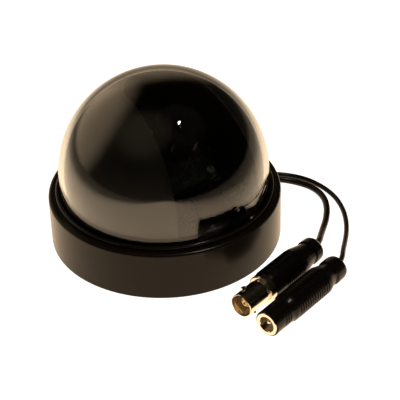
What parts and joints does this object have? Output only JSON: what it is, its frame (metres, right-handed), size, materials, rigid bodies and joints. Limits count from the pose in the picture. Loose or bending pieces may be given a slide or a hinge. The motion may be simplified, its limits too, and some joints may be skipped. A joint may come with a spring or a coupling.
{
  "type": "dome security camera",
  "caption": "Round surface-mount dome camera: clear dome over a black turning liner and pan-tilt board camera, with video and power leads ending in inline jacks.",
  "frame": {"origin": "centre of the base's flat underside, on the pan axis", "axes": "+Z out of the dome along the pan axis; -Y the way the lens and the sighting slot face at rest; +X the side where the leads leave"},
  "size_m": [0.1173, 0.1331, 0.0715],
  "materials": {
    "black_base": "black ABS moulding, semi-gloss",
    "black_cover": "black ABS moulding with a fine satin spark texture",
    "black_rubber": "matte rubber",
    "spring_steel": "blued spring steel",
    "screw_steel": "zinc plated steel",
    "nylon_white": "natural nylon",
    "harness_sleeve": "black sleeved wire bundle",
    "lead_jacket": "soft black PVC jacket, faint sheen",
    "bnc_nickel": "nickel plated brass",
    "ptfe": "cream PTFE",
    "contact_gold": "gold flashed brass",
    "moulded_boot": "black overmoulded PVC with grip ribs",
    "jack_nickel": "nickel plated",
    "clear_dome": "clear polycarbonate, polished",
    "black_liner": "black moulding, satin",
    "black_moulding": "black glass filled nylon",
    "black_sheet": "black painted steel sheet",
    "standoff_brass": "turned brass",
    "board_green": "green solder mask",
    "board_parts_black": "black component packages",
    "sensor_ceramic": "sensor package with cover glass",
    "black_anodised": "black anodised aluminium",
    "lens_glass": "coated lens glass"
  },
  "bodies": {
    "base": {"base_plate": "black_base", "cover_seal": "black_rubber", "pan_clip": "spring_steel", "grommet": "black_rubber", "cord_clamp": "black_base", "clamp_screws": "screw_steel", "lead_junction": "nylon_white", "harness_base": "harness_sleeve", "cord_video": "lead_jacket", "cord_power": "lead_jacket", "bnc_body": "bnc_nickel", "bnc_insulator": "ptfe", "bnc_contact": "contact_gold", "bnc_boot": "moulded_boot", "dc_sleeve": "jack_nickel", "dc_insulator": "moulded_boot", "dc_pin": "jack_nickel", "dc_boot": "moulded_boot"},
    "cover": {"cover_shell": "black_cover", "dome": "clear_dome", "dome_gasket": "black_rubber", "dome_retainer": "black_base"},
    "liner": {"liner": "black_liner"},
    "pan": {"turntable": "black_moulding", "pan_lock_screw": "screw_steel", "yoke": "black_sheet", "yoke_screws": "screw_steel", "harness_pan": "harness_sleeve"},
    "tilt": {"tilt_cradle": "black_sheet", "tilt_screws": "screw_steel", "board_standoffs": "standoff_brass", "camera_board": "board_green", "board_screws": "screw_steel", "board_parts": "board_parts_black", "image_sensor": "sensor_ceramic", "board_connector": "nylon_white", "harness_tilt": "harness_sleeve", "lens_mount": "black_moulding", "mount_screws": "screw_steel"},
    "focus": {"lens_barrel": "black_anodised", "lens_front_glass": "lens_glass", "lens_rear_glass": "lens_glass", "lens_rear_ring": "black_anodised", "lens_bezel": "black_anodised", "focus_lock_ring": "black_anodised"}
  },
  "joints": [
    {"name": "cover_lift", "type": "slide", "parent": "base", "child": "cover", "axis": [0, 0, 1], "range_m": [0, 0.09]},
    {"name": "pan", "type": "hinge", "parent": "base", "child": "pan", "pos_m": [0, 0, 0.007], "axis": [0, 0, 1], "range_deg": [-170, 170]},
    {"name": "liner_turn", "type": "hinge", "parent": "cover", "child": "liner", "pos_m": [0, 0, 0.0288], "axis": [0, 0, 1], "range_deg": [-170, 170]},
    {"name": "tilt", "type": "hinge", "parent": "pan", "child": "tilt", "pos_m": [0, 0, 0.0288], "axis": [1, 0, 0], "range_deg": [-35, 43]},
    {"name": "focus", "type": "hinge", "parent": "tilt", "child": "focus", "pos_m": [0, 0, 0.0288], "axis": [0, -0.4226, 0.9063], "range_deg": [-90, 90]}
  ],
  "couplings": [
    {"joint": "liner_turn", "follows": "pan", "ratio": 1}
  ]
}
